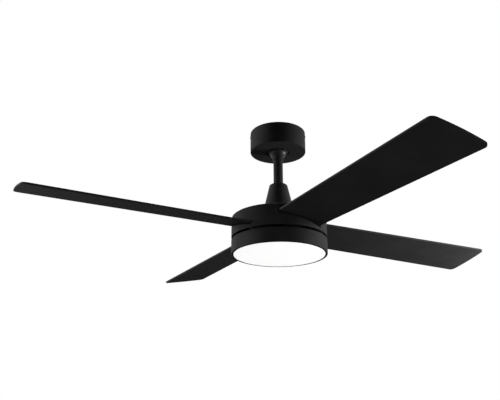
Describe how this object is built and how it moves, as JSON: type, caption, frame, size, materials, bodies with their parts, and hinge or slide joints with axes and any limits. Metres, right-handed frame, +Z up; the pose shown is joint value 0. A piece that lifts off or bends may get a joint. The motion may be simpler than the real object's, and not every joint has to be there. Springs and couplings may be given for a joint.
{
  "type": "ceiling fan with light",
  "caption": "Ceiling fan with pitched flat blades on a drum-shaped motor housing, a ball-hung downrod and canopy above, and a flat round opal lamp below.",
  "frame": {"origin": "middle of the hanging bracket's top face, between its two ceiling slots, on the ceiling plane and on the fan's own axis", "axes": "+Z up into the ceiling, along the downrod and the spin axis; +X along the line of the two ceiling slots; +Y across it, towards the key in the ball cradle"},
  "size_m": [1.1982, 1.1982, 0.345],
  "materials": {
    "black_coated_steel": "matt black powder coat",
    "black_painted_wood": "matt black paint",
    "black_plastic": "satin moulded",
    "white_plastic": "moulded",
    "black_rubber": "matt",
    "zinc_plated_steel": "zinc plated",
    "bright_steel": "ground",
    "cast_aluminium": "as cast",
    "electrical_steel": "laminated",
    "ferrite": "sintered",
    "copper_wire": "enamelled wire",
    "white_board": "white solder mask",
    "led_phosphor": "silicone over phosphor",
    "opal_plastic": "opal, lit from inside"
  },
  "bodies": {
    "ceiling_mount": {"hanging_bracket": "black_coated_steel", "canopy": "black_coated_steel", "canopy_screws": "black_coated_steel", "receiver": "black_plastic", "terminal_block": "white_plastic"},
    "hanger": {"ball_grub_screw": "zinc_plated_steel", "ball_pin": "zinc_plated_steel", "clevis_clip": "zinc_plated_steel", "clevis_pin": "zinc_plated_steel", "cover_grommet": "black_rubber", "downrod": "black_coated_steel", "hanger_ball": "black_coated_steel", "lamp_housing": "black_coated_steel", "lamp_screws": "zinc_plated_steel", "led_board": "white_board", "led_driver": "black_plastic", "led_inner_ring": "led_phosphor", "led_outer_ring": "led_phosphor", "led_screws": "zinc_plated_steel", "led_standoffs": "zinc_plated_steel", "light_plate": "zinc_plated_steel", "lower_bearing_inner_race": "bright_steel", "motor_shaft": "bright_steel", "motor_yoke": "cast_aluminium", "shaft_nut": "zinc_plated_steel", "shaft_washer": "zinc_plated_steel", "stator_coils": "copper_wire", "stator_core": "electrical_steel", "upper_bearing_inner_race": "bright_steel", "yoke_cover": "black_plastic", "yoke_lock_nuts": "zinc_plated_steel", "yoke_screws": "zinc_plated_steel"},
    "rotor": {"blade_1": "black_painted_wood", "blade_2": "black_painted_wood", "blade_3": "black_painted_wood", "blade_4": "black_painted_wood", "blade_bracket_1": "cast_aluminium", "blade_bracket_2": "cast_aluminium", "blade_bracket_3": "cast_aluminium", "blade_bracket_4": "cast_aluminium", "blade_screws": "zinc_plated_steel", "bracket_screws": "zinc_plated_steel", "housing_screws": "zinc_plated_steel", "lower_bearing_balls": "bright_steel", "lower_bearing_outer_race": "bright_steel", "motor_housing": "black_coated_steel", "rotor_bottom_cover": "cast_aluminium", "rotor_magnets": "ferrite", "rotor_ring": "electrical_steel", "rotor_screws": "zinc_plated_steel", "rotor_top_cover": "cast_aluminium", "upper_bearing_balls": "bright_steel", "upper_bearing_outer_race": "bright_steel"},
    "diffuser": {"diffuser": "opal_plastic"}
  },
  "joints": [
    {"name": "hanger_tilt", "type": "hinge", "parent": "ceiling_mount", "child": "hanger", "pos_m": [0, 0, -0.0515], "axis": [1, 0, 0], "range_deg": [-15, 15]},
    {"name": "rotor_spin", "type": "hinge", "parent": "hanger", "child": "rotor", "pos_m": [0, 0, -0.2764], "axis": [0, 0, 1], "continuous": true},
    {"name": "diffuser_twist", "type": "hinge", "parent": "hanger", "child": "diffuser", "pos_m": [0, 0, -0.345], "axis": [0, 0, 1], "range_deg": [0, 22]}
  ]
}
